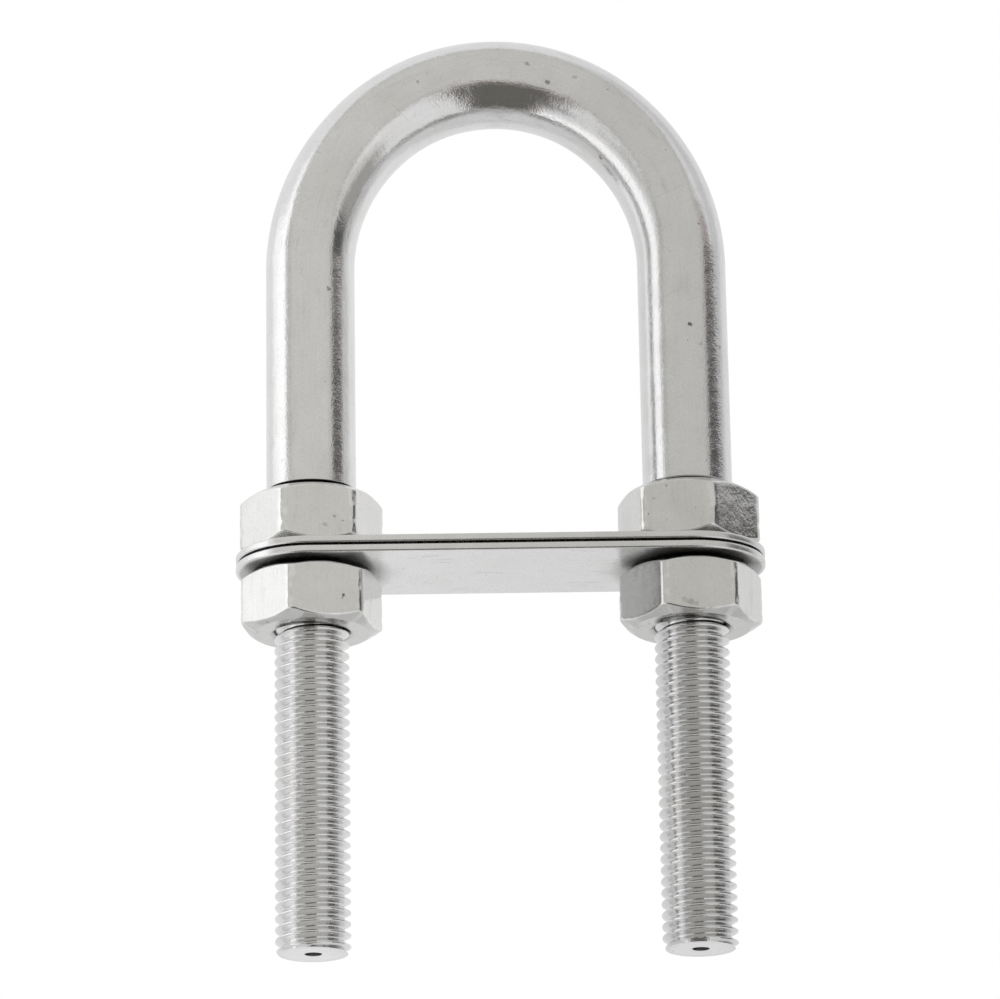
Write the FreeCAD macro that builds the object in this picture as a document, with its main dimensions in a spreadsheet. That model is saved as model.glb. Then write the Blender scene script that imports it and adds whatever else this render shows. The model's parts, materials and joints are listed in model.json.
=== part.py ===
"""Pad eye: a round bar bent into a bow, with two threaded studs, two clamp plates and four nuts.

Frame: +Z points up to the bow, X runs through both studs, Y is across the plates.
The origin is midway between the studs, on the underside of the upper plate, which is the face
that bears on the deck. All sizes are in millimetres and all angles in degrees.
"""
import FreeCAD, Part
import os

import Sketcher

# Driving dimensions: alias, value, meaning.
DIMENSIONS = [
    ("stud_spacing", 50.0, "distance between the two stud axes"),
    ("bow_height", 74.1, "deck face to the top of the bow"),
    ("stud_reach", 52.6, "deck face to the free ends of the studs"),
    ("bar_diameter", 11.9, "polished bar of the bow"),
    ("bow_side_ease", 3.0, "extra radius of the bow's two side bends over half the spacing"),
    ("bow_top_ease", 1.5, "reduction of the bow's top bend below half the spacing"),
    ("thread_diameter", 9.85, "outside of the M10 thread's crests"),
    ("stud_chamfer", 0.4, "45 degree chamfer on each free end"),
    ("centre_diameter", 2.4, "mouth of the lathe centre in each free end"),
    ("plate_overhang", 10.0, "stud axis to the nearer end of a clamp plate"),
    ("plate_width", 20.0, "width of a clamp plate, and the diameter of its round ends"),
    ("plate_thickness", 1.0, "sheet thickness of a clamp plate"),
    ("plate_edge_round", 0.25, "rounding along a clamp plate's outline"),
    ("plate_hole_clearance", 0.65, "stud hole diameter over the thread diameter"),
    ("plate_gap", 0.3, "space between the two plates as supplied, with no deck between them"),
    ("nut_width", 16.8, "across the flats"),
    ("nut_corner_diameter", 19.0, "across the rounded corners"),
    ("nut_face_diameter", 15.4, "flat bearing face inside the 30 degree chamfers"),
    ("nut_height", 8.0, "height of a nut"),
    ("nut_bore_clearance", 0.15, "nut bore diameter over the thread diameter"),
    ("nut_mouth", 0.45, "depth and radial width of the countersink at each end of a nut's bore"),
    ("shoulder_gap", 0.75, "free thread run-out between an upper nut and the bar's shoulder"),
    ("lower_nut_gap", 0.3, "play between the lower plate and the lower nuts"),
    ("upper_left_turn", 7.7, "how far each nut is turned from square to the plates"),
    ("upper_right_turn", -12.7, "the same, upper right nut"),
    ("lower_left_turn", 14.5, "the same, lower left nut"),
    ("lower_right_turn", 6.1, "the same, lower right nut"),
]

# Places that more than one piece is built from, as expressions of the sheet.
HALF_SPACING = "dims.stud_spacing / 2"
THREAD_RADIUS = "dims.thread_diameter / 2"
UPPER_NUT_BASE = "dims.plate_thickness"
SHOULDER = "dims.plate_thickness + dims.nut_height + dims.shoulder_gap"
PLATE_END_CENTRE = "dims.stud_spacing / 2 + dims.plate_overhang - dims.plate_width / 2"
LOWER_PLATE_BASE = "-dims.plate_gap - dims.plate_thickness"
LOWER_NUT_BASE = "-dims.plate_gap - dims.plate_thickness - dims.lower_nut_gap - dims.nut_height"

ORIGIN = -1
START = 1
END = 2
CENTRE = 3


def make_sheet(doc):
    """Write the driving dimensions into a spreadsheet, one aliased cell each."""
    sheet = doc.addObject("Spreadsheet::Sheet", "dims")
    for row, (alias, value, meaning) in enumerate(DIMENSIONS, start=1):
        sheet.set(f"A{row}", alias.replace("_", " "))
        sheet.set(f"B{row}", str(value))
        sheet.set(f"C{row}", meaning)
        sheet.setAlias(f"B{row}", alias)
    doc.recompute()
    return sheet


def new_body(doc, name):
    """Start one sub-part, whose label is also the name of its file."""
    body = doc.addObject("PartDesign::Body", name)
    body.Label = name
    return body


def new_sketch(body, name, plane_role):
    """Attach an empty sketch to one of the body's own origin planes."""
    sketch = body.newObject("Sketcher::SketchObject", name)
    planes = {feature.Role: feature for feature in body.Origin.OriginFeatures}
    sketch.AttachmentSupport = [(planes[plane_role], "")]
    sketch.MapMode = "FlatFace"
    return sketch


def number(sketch, expression):
    """Return what an expression of the sheet comes to, as a plain number."""
    result = sketch.evalExpression(expression)
    return float(getattr(result, "Value", result))


def vector(sketch, place):
    """Turn a pair of expressions into a point of the sketch."""
    return FreeCAD.Vector(number(sketch, place[0]), number(sketch, place[1]), 0)


def bind(sketch, kind, *arguments, to):
    """Add a dimension to the sketch and tie its value to an expression of the sheet."""
    index = sketch.addConstraint(Sketcher.Constraint(kind, *arguments, number(sketch, to)))
    sketch.setExpression(f"Constraints[{index}]", to)


def pin(sketch, geometry, point, place):
    """Fix one point of the sketch at a pair of expressions, measured from the origin."""
    bind(sketch, "DistanceX", ORIGIN, START, geometry, point, to=place[0])
    bind(sketch, "DistanceY", ORIGIN, START, geometry, point, to=place[1])


def draw_polygon(sketch, places):
    """Draw a closed outline of straight lines through the given places."""
    corners = [vector(sketch, place) for place in places]
    count = len(corners)
    for index in range(count):
        sketch.addGeometry(Part.LineSegment(corners[index], corners[(index + 1) % count]), False)
    for index in range(count):
        sketch.addConstraint(Sketcher.Constraint("Coincident", index, END, (index + 1) % count, START))
    for index, place in enumerate(places):
        pin(sketch, index, START, place)


def draw_circle(sketch, place, diameter):
    """Draw a circle with its centre at a place."""
    circle = Part.Circle(vector(sketch, place), FreeCAD.Vector(0, 0, 1), number(sketch, diameter) / 2)
    index = sketch.addGeometry(circle, False)
    pin(sketch, index, CENTRE, place)
    bind(sketch, "Diameter", index, to=diameter)


def draw_arc(sketch, centre, radius, start, end):
    """Draw an arc about a centre, from one point to another, counter-clockwise."""
    circle = Part.Circle(centre, FreeCAD.Vector(0, 0, 1), radius)
    arc = Part.ArcOfCircle(circle, circle.parameter(start), circle.parameter(end))
    return sketch.addGeometry(arc, False)


def pad(body, sketch, name, length):
    """Extrude a sketch along +Z of its body."""
    feature = body.newObject("PartDesign::Pad", name)
    feature.Profile = sketch
    feature.setExpression("Length", length)
    return feature


def turn(body, kind, name, sketch, axis):
    """Revolve a sketch a full turn about one of its own axes, to add or to cut material."""
    feature = body.newObject(kind, name)
    feature.Profile = sketch
    feature.ReferenceAxis = (sketch, [axis])
    feature.Angle = 360.0
    return feature


def draw_bow_line(sketch):
    """Draw the centreline of the bow: two legs, two side bends and a slightly tighter top bend.

    A side bend's centre lies across the middle of the bow, at the height where the legs end. The
    top bend's centre lies on the middle, above them, so that all five runs are tangent.
    """
    half = number(sketch, HALF_SPACING)
    side_ease = number(sketch, "dims.bow_side_ease")
    top_ease = number(sketch, "dims.bow_top_ease")
    side_radius = half + side_ease
    top_radius = half - top_ease
    top_centre = number(sketch, "dims.bow_height - dims.bar_diameter / 2") - top_radius
    centre_rise = ((side_ease + top_ease) ** 2 - side_ease ** 2) ** 0.5
    legs_top = top_centre - centre_rise
    shoulder = number(sketch, SHOULDER)

    middle = FreeCAD.Vector(0, top_centre, 0)
    right_centre = FreeCAD.Vector(-side_ease, legs_top, 0)
    left_centre = FreeCAD.Vector(side_ease, legs_top, 0)
    right_joint = right_centre + (middle - right_centre).normalize() * side_radius
    left_joint = left_centre + (middle - left_centre).normalize() * side_radius
    right_top = FreeCAD.Vector(half, legs_top, 0)
    left_top = FreeCAD.Vector(-half, legs_top, 0)

    right_leg = sketch.addGeometry(Part.LineSegment(FreeCAD.Vector(half, shoulder, 0), right_top), False)
    right_bend = draw_arc(sketch, right_centre, side_radius, right_top, right_joint)
    top_bend = draw_arc(sketch, middle, top_radius, right_joint, left_joint)
    left_bend = draw_arc(sketch, left_centre, side_radius, left_joint, left_top)
    left_leg = sketch.addGeometry(Part.LineSegment(left_top, FreeCAD.Vector(-half, shoulder, 0)), False)

    run = [right_leg, right_bend, top_bend, left_bend, left_leg]
    for first, second in zip(run, run[1:]):
        sketch.addConstraint(Sketcher.Constraint("Tangent", first, END, second, START))
    pin(sketch, right_leg, START, (HALF_SPACING, SHOULDER))
    pin(sketch, left_leg, END, (f"-({HALF_SPACING})", SHOULDER))
    sketch.addConstraint(Sketcher.Constraint("Vertical", right_leg))
    sketch.addConstraint(Sketcher.Constraint("Vertical", left_leg))
    bind(sketch, "Radius", right_bend, to=f"{HALF_SPACING} + dims.bow_side_ease")
    bind(sketch, "Radius", left_bend, to=f"{HALF_SPACING} + dims.bow_side_ease")
    top_height = f"dims.bow_height - dims.bar_diameter / 2 - ({HALF_SPACING} - dims.bow_top_ease)"
    pin(sketch, top_bend, CENTRE, ("0", top_height))


def make_u_bolt(doc):
    """The bow and both studs, turned and bent from one bar."""
    body = new_body(doc, "u_bolt")

    line = new_sketch(body, "bow_line", "XZ_Plane")
    draw_bow_line(line)
    section = new_sketch(body, "bar_section", "XY_Plane")
    section.setExpression("AttachmentOffset.Base.z", SHOULDER)
    draw_circle(section, (HALF_SPACING, "0"), "dims.bar_diameter")
    doc.recompute()

    bow = body.newObject("PartDesign::AdditivePipe", "bow")
    bow.Profile = section
    bow.Spine = (line, [f"Edge{index + 1}" for index in range(len(line.Shape.Edges))])

    profile = new_sketch(body, "stud_profile", "XZ_Plane")
    end = "-dims.stud_reach"
    draw_polygon(profile, [
        (HALF_SPACING, SHOULDER),
        (f"{HALF_SPACING} + {THREAD_RADIUS}", SHOULDER),
        (f"{HALF_SPACING} + {THREAD_RADIUS}", f"{end} + dims.stud_chamfer"),
        (f"{HALF_SPACING} + {THREAD_RADIUS} - dims.stud_chamfer", end),
        (f"{HALF_SPACING} + dims.centre_diameter / 2", end),
        (HALF_SPACING, f"{end} + dims.centre_diameter / 2 / tan(30 deg)"),
    ])
    axis_line = Part.LineSegment(
        vector(profile, (HALF_SPACING, "0")),
        vector(profile, (HALF_SPACING, SHOULDER)),
    )
    axis = profile.addGeometry(axis_line, True)
    pin(profile, axis, START, (HALF_SPACING, "0"))
    pin(profile, axis, END, (HALF_SPACING, SHOULDER))
    stud = turn(body, "PartDesign::Revolution", "right_stud", profile, "Axis0")
    doc.recompute()

    mirror = body.newObject("PartDesign::Mirrored", "left_stud")
    mirror.Originals = [stud]
    planes = {feature.Role: feature for feature in body.Origin.OriginFeatures}
    mirror.MirrorPlane = (planes["YZ_Plane"], [""])
    body.Tip = mirror
    return body


def draw_plate_outline(sketch):
    """Draw an outline with two straight sides and two round ends."""
    radius = number(sketch, "dims.plate_width / 2")
    reach = number(sketch, PLATE_END_CENTRE)
    right = FreeCAD.Vector(reach, 0, 0)
    left = FreeCAD.Vector(-reach, 0, 0)
    up = FreeCAD.Vector(0, radius, 0)
    front = sketch.addGeometry(Part.LineSegment(left - up, right - up), False)
    right_end = draw_arc(sketch, right, radius, right - up, right + up)
    back = sketch.addGeometry(Part.LineSegment(right + up, left + up), False)
    left_end = draw_arc(sketch, left, radius, left + up, left - up)
    loop = [front, right_end, back, left_end]
    for first, second in zip(loop, loop[1:] + loop[:1]):
        sketch.addConstraint(Sketcher.Constraint("Tangent", first, END, second, START))
    pin(sketch, right_end, CENTRE, (PLATE_END_CENTRE, "0"))
    pin(sketch, left_end, CENTRE, (f"-({PLATE_END_CENTRE})", "0"))
    bind(sketch, "Radius", right_end, to="dims.plate_width / 2")


def outline_edges(shape, half_width):
    """Name the edges of a plate's outline, leaving out those of its two round holes."""
    names = []
    for index, edge in enumerate(shape.Edges, start=1):
        box = edge.BoundBox
        lies_flat = box.ZLength < 1e-6
        reaches_side = max(abs(box.YMin), abs(box.YMax)) > half_width - 1e-3
        if lies_flat and reaches_side:
            names.append(f"Edge{index}")
    return names


def make_plate(doc, name, base):
    """One clamp plate, with a clearance hole for each stud."""
    body = new_body(doc, name)
    outline = new_sketch(body, f"{name}_outline", "XY_Plane")
    draw_plate_outline(outline)
    for side in (HALF_SPACING, f"-({HALF_SPACING})"):
        draw_circle(outline, (side, "0"), "dims.thread_diameter + dims.plate_hole_clearance")
    blank = pad(body, outline, f"{name}_blank", "dims.plate_thickness")
    doc.recompute()

    rounding = body.newObject("PartDesign::Fillet", f"{name}_edges")
    rounding.Base = (blank, outline_edges(blank.Shape, number(outline, "dims.plate_width / 2")))
    rounding.setExpression("Radius", "dims.plate_edge_round")
    body.Tip = rounding
    body.setExpression("Placement.Base.z", base)
    return body


def make_nut(doc, name, side, base, turned):
    """One hexagon nut, chamfered at both faces, in its place on a stud.

    With no turn, a flat faces along -Y and two corners lie on the X axis.
    """
    body = new_body(doc, name)
    hexagon = new_sketch(body, f"{name}_hexagon", "XY_Plane")
    corner = "dims.nut_width / 2 / cos(30 deg)"
    draw_polygon(hexagon, [
        (f"{corner} * cos({60 * index} deg)", f"{corner} * sin({60 * index} deg)") for index in range(6)
    ])
    pad(body, hexagon, f"{name}_blank", "dims.nut_height")

    face = "dims.nut_face_diameter / 2"
    rim = "dims.nut_corner_diameter / 2"
    drop = f"({rim} - {face}) * tan(30 deg)"
    clear = "dims.nut_width"
    trim = new_sketch(body, f"{name}_trim", "XZ_Plane")
    draw_polygon(trim, [
        (face, "0"),
        (rim, drop),
        (rim, f"dims.nut_height - {drop}"),
        (face, "dims.nut_height"),
        (clear, "dims.nut_height"),
        (clear, "0"),
    ])
    turn(body, "PartDesign::Groove", f"{name}_chamfers", trim, "V_Axis")

    bore_radius = f"{THREAD_RADIUS} + dims.nut_bore_clearance / 2"
    bore = new_sketch(body, f"{name}_bore_profile", "XZ_Plane")
    draw_polygon(bore, [
        ("0", "0"),
        (f"{bore_radius} + dims.nut_mouth", "0"),
        (bore_radius, "dims.nut_mouth"),
        (bore_radius, "dims.nut_height - dims.nut_mouth"),
        (f"{bore_radius} + dims.nut_mouth", "dims.nut_height"),
        ("0", "dims.nut_height"),
    ])
    body.Tip = turn(body, "PartDesign::Groove", f"{name}_bore", bore, "V_Axis")

    body.Placement.Rotation = FreeCAD.Rotation(FreeCAD.Vector(0, 0, 1), 1)
    body.setExpression("Placement.Base.x", side)
    body.setExpression("Placement.Base.z", base)
    body.setExpression("Placement.Rotation.Angle", turned)
    return body


def check_document(doc, bodies):
    """Stop if any object failed to build or any sub-part is not one valid solid."""
    for item in doc.Objects:
        if "Invalid" in item.State or "Error" in item.State:
            raise RuntimeError(f"{item.Name} did not build: {item.State}")
    for body in bodies:
        shape = body.Shape
        if shape.isNull() or not shape.isValid() or len(shape.Solids) != 1:
            raise RuntimeError(f"{body.Label} is not one valid solid")


def main():
    doc = FreeCAD.newDocument("pad_eye")
    make_sheet(doc)
    left = f"-({HALF_SPACING})"
    right = HALF_SPACING
    bodies = [
        make_u_bolt(doc),
        make_plate(doc, "upper_plate", "0"),
        make_plate(doc, "lower_plate", LOWER_PLATE_BASE),
        make_nut(doc, "upper_nut_left", left, UPPER_NUT_BASE, "dims.upper_left_turn"),
        make_nut(doc, "upper_nut_right", right, UPPER_NUT_BASE, "dims.upper_right_turn"),
        make_nut(doc, "lower_nut_left", left, LOWER_NUT_BASE, "dims.lower_left_turn"),
        make_nut(doc, "lower_nut_right", right, LOWER_NUT_BASE, "dims.lower_right_turn"),
    ]
    doc.recompute()
    check_document(doc, bodies)

    os.makedirs("parts", exist_ok=True)
    for body in bodies:
        body.Shape.exportStep(f"parts/{body.Label}.step")
        box = body.Shape.BoundBox
        print(f"{body.Label}: volume {body.Shape.Volume:.1f} mm3, "
              f"x {box.XMin:.2f} to {box.XMax:.2f}, "
              f"y {box.YMin:.2f} to {box.YMax:.2f}, "
              f"z {box.ZMin:.2f} to {box.ZMax:.2f}")


main()
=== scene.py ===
import json
import math

import bpy
import numpy as np
from mathutils import Euler, Matrix, Vector, noise


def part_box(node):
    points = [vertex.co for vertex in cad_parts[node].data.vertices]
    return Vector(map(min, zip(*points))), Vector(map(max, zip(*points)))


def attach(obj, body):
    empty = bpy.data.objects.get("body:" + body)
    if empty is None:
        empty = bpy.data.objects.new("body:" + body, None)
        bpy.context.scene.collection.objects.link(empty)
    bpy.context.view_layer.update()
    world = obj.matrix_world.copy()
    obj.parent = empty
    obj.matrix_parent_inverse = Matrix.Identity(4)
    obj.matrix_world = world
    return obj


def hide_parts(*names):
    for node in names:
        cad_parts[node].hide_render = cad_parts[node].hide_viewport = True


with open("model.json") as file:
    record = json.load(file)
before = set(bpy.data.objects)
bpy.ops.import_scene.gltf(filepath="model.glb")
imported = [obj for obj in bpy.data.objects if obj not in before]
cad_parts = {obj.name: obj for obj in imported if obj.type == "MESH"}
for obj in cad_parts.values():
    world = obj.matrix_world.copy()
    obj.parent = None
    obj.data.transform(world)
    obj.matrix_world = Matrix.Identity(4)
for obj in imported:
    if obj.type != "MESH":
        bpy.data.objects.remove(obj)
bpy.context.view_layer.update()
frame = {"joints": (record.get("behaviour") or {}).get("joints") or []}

# A stainless pad eye: one bent bar with two threaded studs, two clamp plates and four nuts.
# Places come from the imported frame. The sizes that it doesn't give are named below. Shapes are worked
# out in millimetres and written to the meshes in metres.

MM = 0.001
TAU = 2.0 * math.pi
THIRTY_DEGREES = math.tan(math.radians(30))     # slope of the nuts' chamfers and the thread's flanks
AROUND = 96                  # columns round the bar and each stud
WELD = 1e-3                  # points nearer than this become one


def span(node):
    """A CAD node's lowest and highest corners, in millimetres."""
    low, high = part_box(node)
    return np.array(low) / MM, np.array(high) / MM


def joint_x(name):
    """Where a joint's axis stands along X, in millimetres."""
    return next(joint["pos_m"][0] for joint in frame["joints"] if joint["name"] == name) / MM


BOLT_LOW, BOLT_HIGH = span("u_bolt")
HALF_SPACING = joint_x("upper_nut_right_turn")
BAR_RADIUS = BOLT_HIGH[0] - HALF_SPACING
STUD_END = BOLT_LOW[2]
BOW_TOP = BOLT_HIGH[2]

# The bar and the bow. The bends are as in the CAD, and the shoulders differ from its by up to 0.23 mm.
BOW_SIDE_EASE = 3.0
BOW_TOP_EASE = 1.5
NUT_TOP = span("upper_nut_left")[1][2]
SHOULDER = {-1: NUT_TOP + 0.98, 1: NUT_TOP + 0.70}     # where the bar starts above each upper nut
SHOULDER_CHAMFER = {-1: 0.08, 1: 0.22}

# The M10 x 1.5 thread, right hand.
PITCH = 1.5
CREST_RADIUS = 4.925
ROOT_RADIUS = 4.06
CREST_HALF_WIDTH = 0.105
CREST_DROP = 0.03            # how far a crest's rounded edge lies below its top
ROOT_FILLET = 0.14
THREAD_CREST_Z = {-1: -12.70, 1: -12.87}     # a crest's height on the +X side of each stud
END_CHAMFER = 0.42
CENTRE_RADIUS = 1.1
# painted shade in the centre hole at each stud's end
CENTRE_SHADE = 0.7
# painted shade in the thread's grooves
GROOVE_SHADE = 0.08
NUT_RUNNING_CLEARANCE = 0.07
NUT_MINOR_RADIUS = 4.21

# Nuts.
FLAT_RADIUS = 8.4
CORNER_RADIUS = 9.5
FACE_RADIUS = 7.7
NUT_MOUTH_RADIUS = 5.3
OUTLINE_ROUNDING = 0.16      # over this width corners meet flats where the chamfers are laid out
CORNER_ROUNDING = 0.20       # the same on the nut's own sides
CHAMFER_ROUNDING = 0.22      # and where a chamfer meets the sides
CORNER_WEAR = 0.10           # deepest rubbed place on a corner
NUT_TURN = {"upper_nut_left": 7.7, "upper_nut_right": -12.7, "lower_nut_left": 14.5, "lower_nut_right": 6.1}

# Plates.
HOLE_RADIUS = 5.25
PLATE_RADIUS = span("upper_plate")[1][1]
EDGE_ROUND = 0.25
NUT_SHADOW_RADIUS = 11.5      # how far the painted contact shadow reaches round a nut
HOLE_EDGE = 0.12
SHADOW_INSIDE = CORNER_RADIUS - 0.7     # the painted shadow is full strength this near a stud
# how dark the painted contact shadow is on a plate's underside
UNDERSIDE_SHADOW = 0.4


# ---------------------------------------------------------------- meshes

def smooth_step(value, low, high):
    part = np.clip((value - low) / (high - low), 0.0, 1.0)
    return part * part * (3.0 - 2.0 * part)


def smooth_min(first, second, width):
    """The smaller of two values, with the corner between them rounded over a width."""
    blend = np.maximum(width - np.abs(first - second), 0.0) / width
    return np.minimum(first, second) - blend * blend * width / 4.0


class Builder:
    """Collects points, faces and the surface coordinates that the materials follow."""

    def __init__(self):
        self.points = []
        self.flow = []
        self.shade_and_wear = []
        self.faces = []
        self.count = 0

    def add(self, points, flow, shade_and_wear=0.0):
        """Add a grid of points (rows, columns, 3) and return their indices as (rows, columns).

        flow is where a point lies along and across the metal's drawn lines, and the last value is painted
        shade that darkens the point, from 0 to 1; below 0 it is rubbed wear that lightens it.
        """
        rows, columns = points.shape[:2]
        self.points.append(points.reshape(-1, 3))
        self.flow.append(flow.reshape(-1, 3))
        self.shade_and_wear.append(np.broadcast_to(shade_and_wear, (rows, columns)).reshape(-1))
        indices = self.count + np.arange(rows * columns).reshape(rows, columns)
        self.count += rows * columns
        return indices

    def skin(self, first, second, closed=True):
        """Join two rows of the same length with four-sided faces."""
        if closed:
            following = np.roll(first, -1), np.roll(second, -1)
            quads = np.stack([first, following[0], following[1], second], axis=1)
        else:
            quads = np.stack([first[:-1], first[1:], second[1:], second[:-1]], axis=1)
        self.faces.append(quads)

    def finish(self, name, sharp_angle):
        """Weld, drop what collapsed, and return the object."""
        points = np.concatenate(self.points)
        flow = np.concatenate(self.flow)
        shade_and_wear = np.concatenate(self.shade_and_wear)
        faces = np.concatenate(self.faces)
        keys = np.round(points / WELD).astype(np.int64)
        _, keep, same = np.unique(keys, axis=0, return_index=True, return_inverse=True)
        faces = same.reshape(-1)[faces]
        points = points[keep]
        flow = flow[keep]
        shade_and_wear = shade_and_wear[keep]
        polygons = []
        for quad in faces.tolist():
            corners = [v for i, v in enumerate(quad) if v != quad[i - 1]]
            if len(set(corners)) >= 3 and len(set(corners)) == len(corners):
                polygons.append(corners)
        mesh = bpy.data.meshes.new(name)
        mesh.from_pydata((points * MM).tolist(), [], polygons)
        attribute = mesh.attributes.new("flow", "FLOAT_VECTOR", "POINT")
        attribute.data.foreach_set("vector", flow.astype(np.float32).ravel())
        attribute = mesh.attributes.new("shade_and_wear", "FLOAT", "POINT")
        attribute.data.foreach_set("value", shade_and_wear.astype(np.float32))
        mesh.validate()
        mesh.shade_smooth()
        mesh.set_sharp_from_angle(angle=math.radians(sharp_angle))
        piece = bpy.data.objects.new(name, mesh)
        bpy.context.scene.collection.objects.link(piece)
        return piece


def thread_profile():
    """One pitch of the stud's thread from the middle of a crest: (how far down, radius)."""
    crest_edge = CREST_RADIUS - CREST_DROP
    flank_foot = ROOT_RADIUS + ROOT_FILLET
    depth = crest_edge - flank_foot
    foot = CREST_HALF_WIDTH + depth * THIRTY_DEGREES
    half = [
        (0.0, CREST_RADIUS),
        (0.06, CREST_RADIUS),
        (CREST_HALF_WIDTH, crest_edge),
        (CREST_HALF_WIDTH + (foot - CREST_HALF_WIDTH) / 2, crest_edge - depth / 2),
        (foot, flank_foot),
        (foot + 0.11, ROOT_RADIUS + 0.04),
    ]
    other = [(PITCH - down, radius) for down, radius in reversed(half[1:])]
    return half + [(PITCH / 2, ROOT_RADIUS)] + other


def helix_rows(builder, centre, angles, crest_z, low, high, radius_of, shade_of):
    """Add the rows of one helical thread about a stud, from below its low end to above its high end.

    Row k's last column joins the first column of the row one pitch further up, so the thread is one
    continuous ramp. Points past an end are brought back to it, and the weld closes the end.
    """
    profile = thread_profile()[::-1]
    per_turn = len(profile)
    first_turn = math.floor((low - crest_z) / PITCH) - 2
    last_turn = math.ceil((high - crest_z) / PITCH) + 2
    rows = []
    for turn in range(first_turn, last_turn):
        for down, radius in profile:
            z = crest_z + turn * PITCH - down + PITCH * angles / TAU
            clamped = np.clip(z, low, high)
            rows.append((clamped, radius_of(np.full_like(z, radius), clamped)))
    z = np.array([row[0] for row in rows])
    r = np.array([row[1] for row in rows])
    x = centre + r * np.cos(angles)
    y = r * np.sin(angles)
    flow = np.stack([r * np.cos(angles), z, r], axis=2)
    indices = builder.add(np.stack([x, y, z], axis=2), flow, shade_of(r, z))
    for k in range(len(rows) - 1):
        builder.skin(indices[k], indices[k + 1], closed=False)
        if k + 1 + per_turn < len(rows):
            seam = np.array([indices[k][-1], indices[k + per_turn][0]])
            above = np.array([indices[k + 1][-1], indices[k + 1 + per_turn][0]])
            builder.skin(seam, above, closed=False)


def ring(builder, centre, angles, radius, z, shade_and_wear=0.0):
    """Add one level ring about a stud."""
    x = centre + radius * np.cos(angles)
    y = radius * np.sin(angles)
    flow = np.stack([np.full_like(x, z), x - centre, y], axis=1)
    points = np.stack([x, y, np.full_like(x, z)], axis=1)
    return builder.add(points[None], flow[None], shade_and_wear)[0]


def bow_path():
    """Centre, tangent and run length at steps along the bow, from the right shoulder to the left one."""
    side_radius = HALF_SPACING + BOW_SIDE_EASE
    top_radius = HALF_SPACING - BOW_TOP_EASE
    top_centre = BOW_TOP - BAR_RADIUS - top_radius
    legs_top = top_centre - math.sqrt((BOW_SIDE_EASE + BOW_TOP_EASE) ** 2 - BOW_SIDE_EASE ** 2)
    joint = math.atan2(top_centre - legs_top, BOW_SIDE_EASE)
    centres, tangents = [], []
    leg_start = SHOULDER[1] + SHOULDER_CHAMFER[1]
    for z in np.linspace(leg_start, legs_top, 26)[:-1]:
        centres.append((HALF_SPACING, z))
        tangents.append((0.0, 1.0))
    for turn in np.linspace(0.0, joint, 40)[:-1]:
        x = -BOW_SIDE_EASE + side_radius * math.cos(turn)
        centres.append((x, legs_top + side_radius * math.sin(turn)))
        tangents.append((-math.sin(turn), math.cos(turn)))
    for turn in np.linspace(joint, math.pi / 2, 30):
        centres.append((top_radius * math.cos(turn), top_centre + top_radius * math.sin(turn)))
        tangents.append((-math.sin(turn), math.cos(turn)))
    mirrored = [(-x, z) for x, z in reversed(centres[:-1])]
    mirrored_tangents = [(u, -w) for u, w in reversed(tangents[:-1])]
    mirrored[-1] = (-HALF_SPACING, SHOULDER[-1] + SHOULDER_CHAMFER[-1])
    centres = np.array(centres + mirrored)
    tangents = np.array(tangents + mirrored_tangents)
    steps = np.linalg.norm(np.diff(centres, axis=0), axis=1)
    run = np.concatenate([[0.0], np.cumsum(steps)])
    return centres, tangents, run


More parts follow.
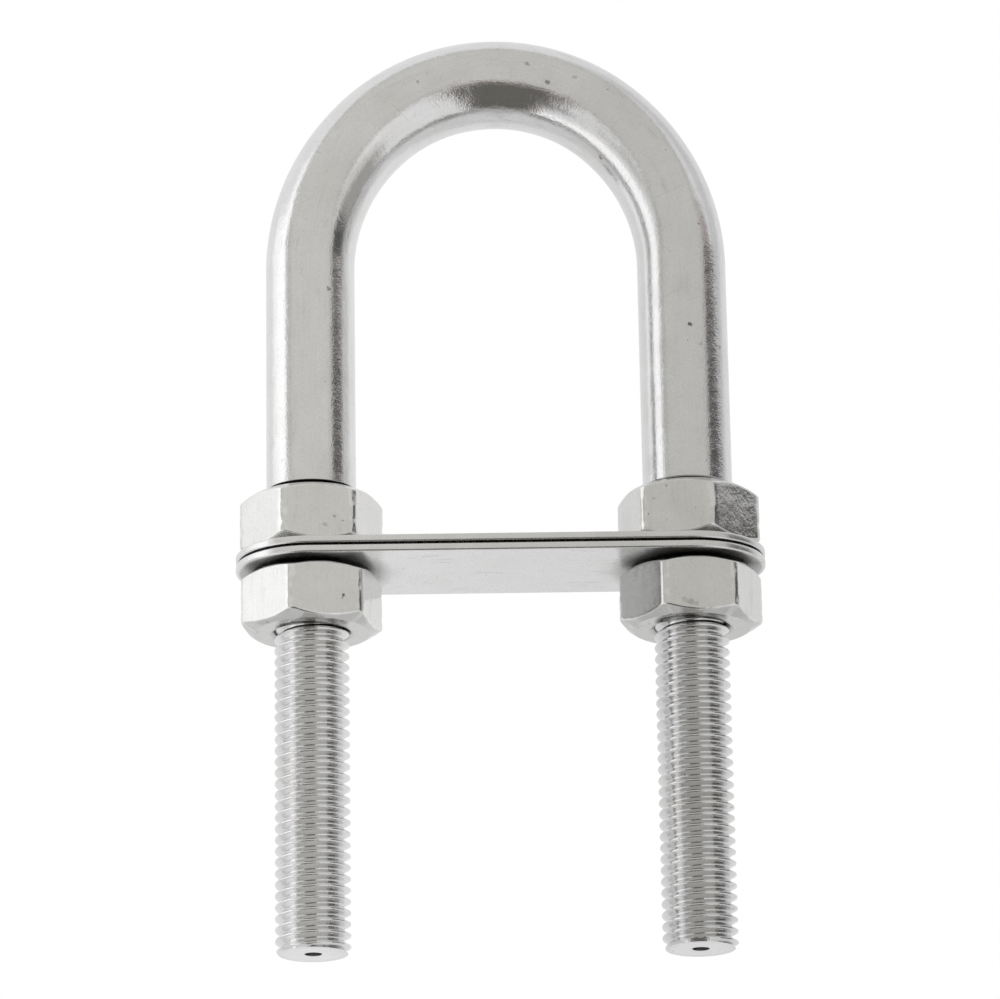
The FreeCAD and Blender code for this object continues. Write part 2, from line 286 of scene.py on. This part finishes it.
def make_u_bolt():
    """Bow and studs as one closed skin."""
    builder = Builder()
    angles = np.arange(AROUND) * TAU / AROUND
    low = STUD_END

    for side in (-1, 1):
        centre = side * HALF_SPACING
        high = SHOULDER[side]

        def stud_radius(radius, z):
            cone = CREST_RADIUS - END_CHAMFER + (z - low)
            run_out = smooth_step(z, NUT_TOP - 0.6, high - 0.2)
            plain = radius + (CREST_RADIUS - radius) * run_out
            return np.where(z <= low, CREST_RADIUS - END_CHAMFER, np.minimum(plain, cone))

        # Painted shade: a little in the thread's grooves, and full on the neck above the upper nut.
        def stud_shade(radius, z):
            groove = smooth_step(radius, CREST_RADIUS - 0.05, ROOT_RADIUS + 0.1)
            return np.maximum(GROOVE_SHADE * groove, smooth_step(z, NUT_TOP - 0.5, NUT_TOP))

        helix_rows(builder, centre, angles, THREAD_CREST_Z[side], low, high, stud_radius, stud_shade)
        rim = ring(builder, centre, angles, CREST_RADIUS - END_CHAMFER, low)
        mouth = [ring(builder, centre, angles, radius, low) for radius in (3.6, 2.6, CENTRE_RADIUS + 0.1)]
        # The centre hole's walls are painted dark as shade.
        for share, deep in ((1.0, 0.06), (0.97, 0.5), (0.5, 1.2), (0.0, 1.9)):
            level = low + CENTRE_RADIUS * deep
            mouth.append(ring(builder, centre, angles, CENTRE_RADIUS * share, level, CENTRE_SHADE))
        for first, second in zip([rim] + mouth, mouth):
            builder.skin(second, first)
        # The neck and the shoulder's underside are painted dark as shade in the gap above the upper nut.
        neck = ring(builder, centre, angles, CREST_RADIUS, high, 1.0)
        chamfer = SHOULDER_CHAMFER[side]
        edge = ring(builder, centre, angles, BAR_RADIUS - chamfer, high, 1.0)
        corner = ring(builder, centre, angles, BAR_RADIUS - chamfer / 2, high + chamfer / 4, 0.3)
        start = ring(builder, centre, angles, BAR_RADIUS, high + chamfer)
        for first, second in ((neck, edge), (edge, corner), (corner, start)):
            builder.skin(first, second)

    centres, tangents, run = bow_path()
    outward = np.stack([tangents[:, 1], -tangents[:, 0]], axis=1)
    across = BAR_RADIUS * np.cos(angles)
    depth = BAR_RADIUS * np.sin(angles)
    x = centres[:, :1] + outward[:, :1] * across
    z = centres[:, 1:] + outward[:, 1:] * across
    y = np.broadcast_to(depth, x.shape)
    flow = np.stack([np.broadcast_to(run[:, None], x.shape), np.broadcast_to(across, x.shape), y], axis=2)
    indices = builder.add(np.stack([x, y, z], axis=2), flow)
    for first, second in zip(indices, indices[1:]):
        builder.skin(first, second)
    return builder.finish("u_bolt_steel", 28)


def uneven(points, per_mm):
    """Smooth noise from about -1 to 1 at each point of a grid, the same on every run."""
    flat = points.reshape(-1, 3) * per_mm
    values = [noise.noise(Vector(point)) for point in flat.tolist()]
    return np.array(values).reshape(points.shape[:-1]) * 1.6


def nut_angles():
    """Columns round a nut, close together at its six worn corners."""
    first_half = [0, 0.8, 1.6, 2.3, 3.2, 4.6, 7, 11, 16, 21, 26, 30]
    sixth = first_half + [60 - part for part in reversed(first_half[1:-1])]
    return np.radians(np.array([60 * corner + part for corner in range(6) for part in sixth]))


def make_nut(name):
    """One hexagon nut: chamfered faces, worn corners and a thread inside."""
    (_, _, base), (_, _, top) = span(name)
    side = -1 if "left" in name else 1
    centre = side * HALF_SPACING
    turned = math.radians(NUT_TURN[name])
    local = nut_angles()
    angles = local + turned
    builder = Builder()

    from_flat = (local + math.pi / 6) % (math.pi / 3) - math.pi / 6
    hexagon = FLAT_RADIUS / np.cos(math.pi / 6 - np.abs(from_flat))
    outline = smooth_min(hexagon, np.full_like(hexagon, CORNER_RADIUS), OUTLINE_ROUNDING)
    edge = (outline - FACE_RADIUS) * THIRTY_DEGREES
    middle = (top - base) / 2

    heights = [np.zeros_like(edge)] + [edge * part for part in (0.12, 0.35, 0.62, 0.82, 0.93, 1.0)]
    heights += [edge + rise for rise in (0.05, 0.12, 0.3)]
    heights += [edge + 0.3 + (middle - edge - 0.3) * part for part in np.linspace(0.0, 1.0, 13)[1:]]
    heights += [2 * middle - height for height in reversed(heights[:-1])]
    z = base + np.array(heights)
    from_face = np.minimum(z - base, top - z)
    wear = uneven(np.stack([np.broadcast_to(np.cos(angles) * 9, z.shape) + 40 * side,
                            np.broadcast_to(np.sin(angles) * 9, z.shape), z], axis=2), 0.9)
    corner = CORNER_RADIUS - CORNER_WEAR * np.maximum(wear, 0.0)
    body = smooth_min(np.broadcast_to(hexagon, z.shape), corner, CORNER_ROUNDING)
    cone = FACE_RADIUS + 0.04 * wear + from_face / THIRTY_DEGREES
    radii = smooth_min(body, cone, CHAMFER_ROUNDING)
    radii[0] = radii[-1] = FACE_RADIUS
    x = centre + radii * np.cos(angles)
    y = radii * np.sin(angles)
    flow = np.stack([z, x - centre, y], axis=2)
    near_corner = smooth_step(np.broadcast_to(hexagon, z.shape), CORNER_RADIUS - 0.24, CORNER_RADIUS - 0.08)
    near_arc = 1.0 - smooth_step(np.abs(FACE_RADIUS + from_face / THIRTY_DEGREES - body), 0.08, 0.35)
    rubbed = np.maximum(near_corner, near_arc) * smooth_step(wear, -0.35, 0.55)
    outside = builder.add(np.stack([x, y, z], axis=2), flow, -rubbed)
    for first, second in zip(outside, outside[1:]):
        builder.skin(first, second)

    def bore_radius(radius, level):
        thread = np.maximum(radius + NUT_RUNNING_CLEARANCE, NUT_MINOR_RADIUS)
        depth = np.minimum(level - base, top - level)
        return np.where(depth <= 0, NUT_MOUTH_RADIUS, np.maximum(thread, NUT_MOUTH_RADIUS - depth))

    # Painted shade inside the nut: 0.2 at its faces, rising to 1 deeper in the bore.
    def bore_shade(radius, level):
        return smooth_step(np.minimum(level - base, top - level), 0.0, 0.8) * 0.8 + 0.2

    helix_rows(builder, centre, angles, THREAD_CREST_Z[side], base, top, bore_radius, bore_shade)
    for level, outer_row in ((base, outside[0]), (top, outside[-1])):
        # Painted shade at the bore's mouth on each face.
        face = [ring(builder, centre, angles, NUT_MOUTH_RADIUS, level, 0.35)]
        face += [ring(builder, centre, angles, radius, level) for radius in (5.6, 6.2, 6.8, 7.3, 7.6)]
        for first, second in zip(face, face[1:] + [outer_row]):
            builder.skin(first, second)
    return builder.finish(name + "_steel", 32)


def plate_columns():
    """Half a plate's outline about its stud: outer points, inset points, and where the edge's wall is."""
    reach = HALF_SPACING
    width = PLATE_RADIUS
    middle = [(-reach, part * width) for part in np.linspace(-1.0, 1.0, 25)]
    back = [(-part * reach, width) for part in np.linspace(1.0, 0.0, 26)[1:]]
    turns = np.linspace(math.pi / 2, -math.pi / 2, 73)[1:]
    end = [(width * math.cos(turn), width * math.sin(turn)) for turn in turns]
    front = [(-part * reach, -width) for part in np.linspace(0.0, 1.0, 26)[1:-1]]
    outer = np.array(middle + back + end + front)
    inset = outer.copy()
    on_middle = np.arange(len(outer)) < len(middle)
    round_end = outer[:, 0] > 0
    inset[:, 1] *= (width - EDGE_ROUND) / width
    inset[round_end, 0] *= (width - EDGE_ROUND) / width
    return outer, inset, on_middle


def make_plate(name):
    """One clamp plate: a flat obround with rounded edges and two clearance holes."""
    (_, _, base), (_, _, top) = span(name)
    outer, inset, on_middle = plate_columns()
    count = len(outer)
    last_middle = int(np.flatnonzero(on_middle)[-1])
    bearing = np.arctan2(inset[:, 1], inset[:, 0])
    hole = HOLE_RADIUS * np.stack([np.cos(bearing), np.sin(bearing)], axis=1)
    hole_lip = hole * (HOLE_RADIUS + HOLE_EDGE) / HOLE_RADIUS
    builder = Builder()

    def level(points, z, side, shadow=0.0):
        placed = np.empty((1, count, 3))
        placed[0, :, 0] = side * (HALF_SPACING + points[:, 0])
        placed[0, :, 1] = points[:, 1]
        placed[0, :, 2] = z
        from_stud = np.hypot(points[:, 0], points[:, 1])
        # Painted contact shadow round each nut, full strength near the stud and gone by the outer radius.
        contact_shadow = smooth_step(from_stud, NUT_SHADOW_RADIUS, SHADOW_INSIDE)
        return builder.add(placed, placed.copy(), contact_shadow[None] * shadow)[0]

    for side in (-1, 1):
        loops = []
        for part in np.linspace(0.0, 1.0, 12):
            loops.append(level(hole_lip + (inset - hole_lip) * part, top, side))
        wall = []
        for turn in np.linspace(math.pi / 2, 0.0, 6)[1:]:
            edge = outer + (inset - outer) * (1.0 - math.cos(turn))
            wall.append(level(edge, top - EDGE_ROUND + EDGE_ROUND * math.sin(turn), side))
        for turn in np.linspace(0.0, math.pi / 2, 6):
            edge = outer + (inset - outer) * (1.0 - math.cos(turn))
            wall.append(level(edge, base + EDGE_ROUND - EDGE_ROUND * math.sin(turn), side))
        # The undersides carry the painted contact shadow round the nuts.
        under = []
        for part in np.linspace(1.0, 0.0, 12)[1:]:
            under.append(level(hole_lip + (inset - hole_lip) * part, base, side, UNDERSIDE_SHADOW))
        bore = [level(hole, base + HOLE_EDGE, side), level(hole, top - HOLE_EDGE, side), loops[0]]

        def join(first, second, indices):
            pair = (first[indices], second[indices])
            if side < 0:
                pair = pair[::-1]
            builder.skin(pair[0], pair[1], closed=False)

        everything = np.append(np.arange(count), 0)
        walled = np.append(np.arange(last_middle, count), 0)
        for first, second in zip(loops, loops[1:]):
            join(second, first, everything)
        for first, second in zip([loops[-1]] + wall, wall):
            join(second, first, walled)
        for first, second in zip([wall[-1]] + under, under):
            join(second, first, everything)
        for first, second in zip([under[-1]] + bore, bore):
            join(second, first, everything)
    return builder.finish(name + "_steel", 35)


# ---------------------------------------------------------------- materials

class Nodes:
    """Short ways to write a node tree."""

    def __init__(self, tree):
        self.tree = tree
        tree.nodes.clear()

    def add(self, kind, settings=None, **inputs):
        node = self.tree.nodes.new(kind)
        for key, value in (settings or {}).items():
            setattr(node, key, value)
        for key, value in inputs.items():
            self.put(node.inputs[key.replace("_", " ")], value)
        return node

    def put(self, socket, value):
        if isinstance(value, bpy.types.NodeSocket):
            self.tree.links.new(value, socket)
        else:
            socket.default_value = value

    def math(self, operation, first, second=0.0, third=0.0, clamp=False):
        node = self.tree.nodes.new("ShaderNodeMath")
        node.operation = operation
        node.use_clamp = clamp
        for socket, value in zip(node.inputs, (first, second, third)):
            self.put(socket, value)
        return node.outputs[0]

    def remap(self, value, low, high, to_low=0.0, to_high=1.0, smooth=False):
        node = self.tree.nodes.new("ShaderNodeMapRange")
        node.interpolation_type = "SMOOTHSTEP" if smooth else "LINEAR"
        node.clamp = True
        settings = {"Value": value, "From Min": low, "From Max": high, "To Min": to_low, "To Max": to_high}
        for key, part in settings.items():
            self.put(node.inputs[key], part)
        return node.outputs["Result"]

    def mix(self, share, first, second):
        node = self.tree.nodes.new("ShaderNodeMix")
        node.data_type = "RGBA"
        self.put(node.inputs["Factor"], share)
        self.put(node.inputs[6], first)
        self.put(node.inputs[7], second)
        return node.outputs[2]

    def scaled(self, vector, scale):
        node = self.tree.nodes.new("ShaderNodeVectorMath")
        node.operation = "MULTIPLY"
        self.put(node.inputs[0], vector)
        node.inputs[1].default_value = scale
        return node.outputs[0]

    def noise(self, vector, scale, detail=3.0, roughness=0.5, distortion=0.0):
        node = self.add("ShaderNodeTexNoise", Vector=vector, Scale=scale, Detail=detail, Roughness=roughness,
                        Distortion=distortion)
        return node.outputs["Fac"]


def steel(name, colour, roughness, lines, fine, peel, peel_scale, pits, hairs, tint,
          turned_faces=0.0, nicks=()):
    """Stainless steel, worn by handling. All sizes and heights in it are in millimetres.

    lines, fine, peel and turned_faces are heights of the drawn lines, grain, orange peel and lathe
    rings. pits and hairs say how dark the marks are, and tint how brown the surface gets in patches.
    """
    material = bpy.data.materials.new(name)
    material.use_nodes = True
    nodes = Nodes(material.node_tree)
    flow = nodes.add("ShaderNodeAttribute", {"attribute_name": "flow"}).outputs["Vector"]
    shade_and_wear = nodes.add("ShaderNodeAttribute", {"attribute_name": "shade_and_wear"}).outputs["Fac"]
    place = nodes.scaled(nodes.add("ShaderNodeTexCoord").outputs["Object"], (1 / MM, 1 / MM, 1 / MM))

    def centred(value, size):
        return nodes.math("MULTIPLY", nodes.math("SUBTRACT", value, 0.5), size)

    drawn = nodes.noise(nodes.scaled(flow, (0.05, 1.0, 1.0)), 3.2, 3.0, 0.6)
    clouds = nodes.noise(place, 0.23, 4.0, 0.6)
    grain = nodes.noise(place, 4.2, 2.0, 0.6)
    orange_peel = nodes.noise(place, peel_scale, 1.5, 0.5)
    smears = nodes.noise(nodes.scaled(flow, (0.22, 0.8, 0.8)), 0.6, 4.0, 0.65)
    smears = nodes.remap(smears, 0.56, 0.74, smooth=True)
    flecks = nodes.remap(nodes.noise(place, 2.7, 3.0, 0.6), 0.54, 0.66, smooth=True)
    rubbed = nodes.math("MAXIMUM", nodes.math("MULTIPLY", shade_and_wear, -1.0), 0.0)

    # Sparse pits, each in a random place, and hair scratches that come and go.
    rough_place = nodes.add("ShaderNodeVectorMath", {"operation": "ADD"})
    nodes.put(rough_place.inputs[0], place)
    wobble = nodes.add("ShaderNodeTexNoise", Vector=place, Scale=1.7, Detail=2.0)
    nodes.put(rough_place.inputs[1], wobble.outputs["Color"])
    cells = nodes.add("ShaderNodeTexVoronoi", {"feature": "F1"}, Vector=rough_place.outputs[0], Scale=0.5)
    chance = nodes.add("ShaderNodeSeparateColor", Color=cells.outputs["Color"]).outputs[0]
    pit_size = nodes.remap(chance, 0.55, 1.0, 0.0, 0.09)
    pit = nodes.math("MULTIPLY", nodes.math("LESS_THAN", cells.outputs["Distance"], pit_size), pits)
    hair = 0.0
    for angle in (25, -40, 75):
        turned = nodes.add("ShaderNodeVectorRotate", {"rotation_type": "Y_AXIS"}, Vector=place,
                           Angle=math.radians(angle))
        strokes = nodes.noise(nodes.scaled(turned.outputs[0], (0.35, 0.35, 6.0)), 0.8, 1.0)
        hair = nodes.math("MAXIMUM", hair, nodes.remap(strokes, 0.735, 0.775, smooth=True))
    hair = nodes.math("MULTIPLY", hair, hairs)
    marks = nodes.math("MAXIMUM", pit, hair)
    for spot, size, strength in nicks:
        offset = nodes.add("ShaderNodeVectorMath", {"operation": "DISTANCE"})
        nodes.put(offset.inputs[0], rough_place.outputs[0])
        offset.inputs[1].default_value = [part + 0.5 for part in spot]
        nick = nodes.remap(offset.outputs["Value"], size * 0.5, size, strength, 0.0, smooth=True)
        marks = nodes.math("MAXIMUM", marks, nick)

    bright = nodes.math("ADD", 1.0, centred(clouds, 0.18))
    bright = nodes.math("ADD", bright, centred(drawn, 0.10))
    bright = nodes.math("ADD", bright, centred(grain, 0.22))
    bright = nodes.math("SUBTRACT", bright, nodes.math("MULTIPLY", smears, 0.10))
    bright = nodes.math("ADD", bright, nodes.math("MULTIPLY", rubbed, 0.16))
    # Painted shade: the colour darkens by a tenth from X = -18 mm to X = +18 mm.
    right_side_shade = nodes.remap(nodes.add("ShaderNodeSeparateXYZ", Vector=place).outputs[0], -18.0, 18.0, 1.0, 0.90)
    bright = nodes.math("MULTIPLY", bright, right_side_shade)
    if turned_faces:
        normal = nodes.add("ShaderNodeNewGeometry").outputs["Normal"]
        flatness = nodes.math("ABSOLUTE", nodes.add("ShaderNodeSeparateXYZ", Vector=normal).outputs[2])
        on_face = nodes.remap(flatness, 0.75, 0.82)
        # Painted shade: the nuts' end faces are darker in colour by 0.19.
        bright = nodes.math("SUBTRACT", bright, nodes.math("MULTIPLY", on_face, 0.19))
    base = nodes.add("ShaderNodeVectorMath", {"operation": "SCALE"})
    base.inputs[0].default_value = colour
    nodes.put(base.inputs["Scale"], bright)
    warm = nodes.remap(nodes.noise(place, 0.10, 2.0, 0.5), 0.50, 0.70, 0.0, tint, smooth=True)
    surface = nodes.mix(warm, base.outputs[0], (0.57, 0.50, 0.455, 1.0))
    surface = nodes.mix(nodes.math("MULTIPLY", marks, 0.85), surface, (0.10, 0.09, 0.08, 1.0))
    # Painted shade: dark brown mixed in where the mesh's shade value is above 0.
    surface = nodes.mix(nodes.math("MAXIMUM", shade_and_wear, 0.0), surface, (0.035, 0.030, 0.026, 1.0))

    rough = nodes.math("ADD", roughness, centred(clouds, 0.10))
    rough = nodes.math("ADD", rough, centred(grain, 0.10))
    rough = nodes.math("ADD", rough, nodes.math("MULTIPLY", smears, 0.10))
    rough = nodes.math("ADD", rough, nodes.math("MULTIPLY", flecks, 0.09))
    rough = nodes.math("ADD", rough, nodes.math("MULTIPLY", rubbed, 0.10))
    # Marks and painted shade also make the surface rougher.
    marks_and_shade = nodes.math("MAXIMUM", marks, shade_and_wear)
    rough = nodes.math("ADD", rough, nodes.math("MULTIPLY", marks_and_shade, 0.30), clamp=True)

    height = nodes.math("ADD", centred(drawn, lines), centred(orange_peel, peel))
    height = nodes.math("ADD", height, centred(grain, fine))
    height = nodes.math("ADD", height, centred(clouds, 0.05))
    height = nodes.math("SUBTRACT", height, nodes.math("MULTIPLY", marks, 0.03))
    if turned_faces:
        parts = nodes.add("ShaderNodeSeparateXYZ", Vector=flow)
        radius = nodes.math("SQRT", nodes.math("ADD", nodes.math("POWER", parts.outputs[1], 2.0),
                                               nodes.math("POWER", parts.outputs[2], 2.0)))
        groove = nodes.noise(nodes.add("ShaderNodeCombineXYZ", X=radius).outputs[0], 5.0, 2.0)
        height = nodes.math("ADD", height, nodes.math("MULTIPLY", centred(groove, turned_faces), on_face))
    bump = nodes.add("ShaderNodeBump", Strength=1.0, Distance=MM, Height=height)

    shader = nodes.add("ShaderNodeBsdfPrincipled", Metallic=1.0, Roughness=rough, Normal=bump.outputs[0])
    nodes.put(shader.inputs["Base Color"], surface)
    nodes.add("ShaderNodeOutputMaterial", Surface=shader.outputs[0])
    return material


def plain_floor():
    material = bpy.data.materials.new("pale_floor")
    material.use_nodes = True
    nodes = Nodes(material.node_tree)
    place = nodes.add("ShaderNodeTexCoord").outputs["Object"]
    clouds = nodes.remap(nodes.noise(place, 3.0, 3.0), 0.0, 1.0, 0.83, 0.87)
    shader = nodes.add("ShaderNodeBsdfPrincipled", Roughness=0.7)
    nodes.put(shader.inputs["Base Color"], clouds)
    nodes.add("ShaderNodeOutputMaterial", Surface=shader.outputs[0])
    return material


# ---------------------------------------------------------------- the piece itself

def place_piece(piece, node, material):
    piece.data.materials.append(material)
    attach(piece, node)
    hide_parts(node)


# The bar's larger nicks: place in millimetres, size and depth of colour.
BAR_NICKS = [
    ((25.6, -5.9, 31.0), 0.38, 1.0),
    ((27.1, -5.6, 28.4), 0.45, 0.3),
    ((29.6, -3.7, 28.4), 0.35, 0.5),
    ((-22.4, -5.3, 36.9), 0.35, 0.6),
    ((4.6, -5.85, 68.8), 0.45, 0.5),
    ((7.4, -5.85, 66.0), 0.38, 0.7),
    ((11.0, -5.8, 66.8), 0.40, 0.35),
    ((-10.2, -5.9, 66.4), 0.35, 0.45),
    ((14.3, -3.0, 56.2), 0.45, 0.7),
]
NUT_NICKS = [
    ((-20.7, -7.6, -6.5), 0.42, 1.0),
    ((-21.8, -8.0, 4.2), 0.24, 0.5),
    ((-23.0, -8.2, 3.0), 0.42, 0.3),
    ((20.0, -7.5, 6.3), 0.22, 0.5),
    ((21.9, -7.9, 7.7), 0.26, 0.5),
    ((21.8, -7.9, 3.2), 0.20, 0.5),
    ((25.5, -8.7, 4.3), 0.20, 0.4),
    ((23.9, -8.6, -8.2), 0.55, 0.25),
    ((24.6, -8.5, -8.35), 0.60, 0.35),
    ((25.3, -8.4, -8.5), 0.50, 0.25),
]
BAR_STEEL = steel("drawn_bar_steel", (0.80, 0.80, 0.80), 0.09, lines=0.008, fine=0.018, peel=0.018,
                  peel_scale=0.9, pits=0.6, hairs=0.12, tint=0.12, nicks=BAR_NICKS)
PLATE_STEEL = steel("plate_steel", (0.82, 0.82, 0.82), 0.25, lines=0.003, fine=0.005, peel=0.008,
                    peel_scale=0.7, pits=0.3, hairs=0.08, tint=0.08)
NUT_STEEL = steel("nut_steel", (0.77, 0.77, 0.76), 0.11, lines=0.001, fine=0.003, peel=0.0065,
                  peel_scale=2.2, pits=0.5, hairs=0.08, tint=0.12, turned_faces=0.012, nicks=NUT_NICKS)

place_piece(make_u_bolt(), "u_bolt", BAR_STEEL)
for plate_name in ("upper_plate", "lower_plate"):
    place_piece(make_plate(plate_name), plate_name, PLATE_STEEL)
for nut_name in NUT_TURN:
    place_piece(make_nut(nut_name), nut_name, NUT_STEEL)


# ---------------------------------------------------------------- studio

def direction(azimuth, elevation):
    """A unit vector: azimuth from the front (-Y) towards +X, elevation up, both in degrees."""
    a, e = math.radians(azimuth), math.radians(elevation)
    return Vector((math.cos(e) * math.sin(a), -math.cos(e) * math.cos(a), math.sin(e)))


def studio_world():
    """Soft white studio: a pale room with a grey screen above the front and dark flags."""
    world = bpy.data.worlds.new("studio")
    world.use_nodes = True
    nodes = Nodes(world.node_tree)
    toward = nodes.add("ShaderNodeTexCoord").outputs["Generated"]
    parts = nodes.add("ShaderNodeSeparateXYZ", Vector=toward)
    x, y, z = parts.outputs
    azimuth = nodes.math("MULTIPLY", nodes.math("ARCTAN2", x, nodes.math("MULTIPLY", y, -1.0)), 180 / math.pi)
    elevation = nodes.math("MULTIPLY", nodes.math("ARCSINE", z), 180 / math.pi)

    def around(centre):
        dot = nodes.add("ShaderNodeVectorMath", {"operation": "DOT_PRODUCT"})
        nodes.put(dot.inputs[0], toward)
        dot.inputs[1].default_value = centre
        return nodes.math("MULTIPLY", nodes.math("ARCCOSINE", dot.outputs["Value"]), 180 / math.pi)

    def window(value, low, high, soft):
        rise = nodes.remap(value, low - soft, low + soft, smooth=True)
        fall = nodes.remap(value, high - soft, high + soft, 1.0, 0.0, smooth=True)
        return nodes.math("MULTIPLY", rise, fall)

    light = (0.86, 0.86, 0.86, 1.0)

    def lay(share, grey, warm=0.0, red=0.0):
        """Lay one area of the studio over what is there already."""
        nonlocal light
        light = nodes.mix(share, light, (grey, grey * (1 - warm / 4 - red), grey * (1 - warm - red), 1.0))

    def patch(low_azimuth, high_azimuth, low_elevation, high_elevation, soft=2.0):
        return nodes.math("MULTIPLY", window(azimuth, low_azimuth, high_azimuth, soft),
                          window(elevation, low_elevation, high_elevation, soft * 1.5))

    # A bright wing on the left, brightest towards the front, and a paler one on the right.
    lay(patch(88, 118, -60, 70, 4), 0.69)
    wing = patch(-113.5, -66, -70, 32, 1.5)
    lay(wing, 1.06)
    lay(nodes.math("MULTIPLY", wing, nodes.remap(azimuth, -108, -84)), 1.26)
    lay(patch(-84, -50, 30, 46, 3), 1.20)
    lay(patch(-117, -103, -20, -12, 1.5), 0.22)
    lay(patch(-47, -26, -50, -34, 4), 0.42)
    # The warm grey screen above the front, with a darker rim and a skirt below it.
    lay(patch(-66, -45, 15.5, 30, 1.5), 0.62, 0.05)
    lay(patch(-56, -45, -20, 16.5, 1.5), 0.62, 0.05)
    lay(patch(45, 60, -20, 30, 1.5), 0.69, 0.04)
    lay(patch(46, 57, 16.2, 18.0, 0.4), 1.05)
    from_screen = around(direction(0, 38))
    lay(nodes.remap(from_screen, 50.5, 52.5, 1.0, 0.0, smooth=True), 0.655, 0.055)
    lay(nodes.math("MULTIPLY", window(from_screen, 48.8, 52.0, 1.0), 0.75), 0.38, 0.05)
    # A dark flag on the right, wider towards its foot, softer below and with a brown end above.
    flag_edge = nodes.remap(elevation, 17.9, 18.4, 105.0, 90.0)
    past_edge = nodes.math("SUBTRACT", azimuth, flag_edge)
    flag = nodes.math("MULTIPLY", nodes.remap(azimuth, 57.0, 60.0, smooth=True),
                      nodes.remap(past_edge, -1.5, 1.5, 1.0, 0.0, smooth=True))
    lay(nodes.math("MULTIPLY", window(azimuth, 62, 80, 4), window(elevation, 20, 32, 5)), 0.40, 0.04, 0.14)
    lay(nodes.math("MULTIPLY", flag, window(elevation, -22, 10, 6)), 0.40, 0.05)
    lay(nodes.math("MULTIPLY", flag, window(elevation, 7, 21.5, 1.5)), 0.10, 0.06)
    # The paler ground straight below and behind, and the dark gap between it and the screen.
    pitch = nodes.math("MULTIPLY", nodes.math("ARCTAN2", z, nodes.math("MULTIPLY", y, -1.0)), 180 / math.pi)
    lay(window(pitch, -140, -88, 4), 0.73)
    gap_up = nodes.math("DIVIDE", nodes.math("ADD", pitch, 51.0), 39.5)
    gap_side = nodes.math("DIVIDE", nodes.math("ADD", x, 0.07), 0.345)
    gap = nodes.math("ADD", nodes.math("POWER", gap_up, 4.0), nodes.math("POWER", gap_side, 4.0))
    gap = nodes.math("POWER", gap, 0.25)
    lay(nodes.remap(gap, 0.90, 1.10, 1.0, 0.0, smooth=True), 0.32, 0.03, 0.14)
    lay(nodes.remap(gap, 0.76, 1.00, 1.0, 0.0, smooth=True), 0.155, 0.12)

    studio = nodes.add("ShaderNodeBackground", Strength=1.0)
    nodes.put(studio.inputs["Color"], light)
    backdrop = nodes.add("ShaderNodeBackground", Strength=1.0)
    backdrop.inputs["Color"].default_value = (1.0, 1.0, 1.0, 1.0)
    seen = nodes.add("ShaderNodeLightPath").outputs["Is Camera Ray"]
    chosen = nodes.add("ShaderNodeMixShader")
    nodes.put(chosen.inputs[0], seen)
    nodes.put(chosen.inputs[1], studio.outputs[0])
    nodes.put(chosen.inputs[2], backdrop.outputs[0])
    nodes.add("ShaderNodeOutputWorld", Surface=chosen.outputs[0])
    bpy.context.scene.world = world


FLOOR_BELOW = 0.25           # metres under the studs, out of the upward view
FLOOR_HALF = 12.0            # metres from the middle to an edge


def make_floor():
    drop = STUD_END * MM - FLOOR_BELOW
    half = FLOOR_HALF
    mesh = bpy.data.meshes.new("floor")
    mesh.from_pydata([(-half, -half, drop), (half, -half, drop), (half, half, drop), (-half, half, drop)], [],
                     [(0, 1, 2, 3)])
    floor = bpy.data.objects.new("floor", mesh)
    bpy.context.scene.collection.objects.link(floor)
    mesh.materials.append(plain_floor())
    floor.visible_glossy = False


def make_camera():
    """The camera looks up at the clamp plates from in front, as the object was photographed."""
    data = bpy.data.cameras.new("camera")
    data.sensor_width = 36.0
    data.lens = 178.55
    camera = bpy.data.objects.new("camera", data)
    turned = Euler([math.radians(angle) for angle in (107.9664, 0.9170, -0.4207)])
    camera.matrix_world = Matrix.Translation((-0.00780, -0.62642, -0.19439)) @ turned.to_matrix().to_4x4()
    bpy.context.scene.collection.objects.link(camera)
    bpy.context.scene.camera = camera


studio_world()
make_floor()
make_camera()
bpy.context.scene.view_settings.view_transform = "Standard"
